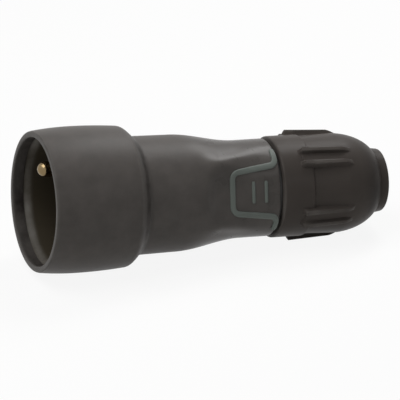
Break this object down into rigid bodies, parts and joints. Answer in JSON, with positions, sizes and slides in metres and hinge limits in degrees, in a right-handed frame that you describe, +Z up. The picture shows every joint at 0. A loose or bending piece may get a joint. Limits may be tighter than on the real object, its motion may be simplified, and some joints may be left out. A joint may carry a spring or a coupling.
{
  "type": "rubber extension socket",
  "caption": "In-line rewireable extension socket: rubber collar and grip, recess with earth pin and shuttered contact holes, ribbed gland nut that clamps the cable.",
  "frame": {"origin": "middle of the bounding box, on the surface that the socket lies on", "axes": "+X from the mouth to the cable end, +Z up; the socket's own axis dips towards the cable end because it lies on its collar and on a rib of the nut"},
  "size_m": [0.1168, 0.0456, 0.0462],
  "materials": {
    "rubber": "matte moulded rubber",
    "ridge": "satin",
    "insert": "satin",
    "shutter": "moulded",
    "block": "moulded",
    "brass": "drawn",
    "pin": "polished",
    "steel": "zinc plated",
    "neck": "moulded",
    "seal": "soft rubber",
    "nut": "satin moulded"
  },
  "bodies": {
    "socket": {"housing": "rubber", "grip_inlay_near": "ridge", "grip_inlay_far": "ridge", "socket_insert": "insert", "shutter_spring": "steel", "terminal_block": "block", "phase_contact": "brass", "neutral_contact": "brass", "phase_clip": "steel", "neutral_clip": "steel", "earth_pin": "pin", "terminal_screws": "steel", "carrier_screws": "steel", "neck_shell": "neck", "neck_seal": "seal", "cable_grommet": "seal", "clamp_collet": "neck"},
    "shutter": {"shutter": "shutter"},
    "washer": {"slip_washer": "steel"},
    "nut": {"gland_nut": "nut"}
  },
  "joints": [
    {"name": "nut_advance", "type": "slide", "parent": "socket", "child": "washer", "axis": [0.997, 0, -0.0777], "range_m": [0, 0.0091]},
    {"name": "nut_turn", "type": "hinge", "parent": "washer", "child": "nut", "pos_m": [0.02041, 0, 0.01817], "axis": [0.997, 0, -0.0777], "range_deg": [0, 1080]},
    {"name": "shutter_slide", "type": "slide", "parent": "socket", "child": "shutter", "axis": [-0.0745, -0.284, -0.9559], "range_m": [0, 0.0064], "stiffness_N_per_m": 120, "springref_m": -0.003, "deforming": ["shutter_spring"]}
  ],
  "couplings": [
    {"joint": "nut_advance", "follows": "nut_turn", "m_per_rad": 0.00047746}
  ]
}
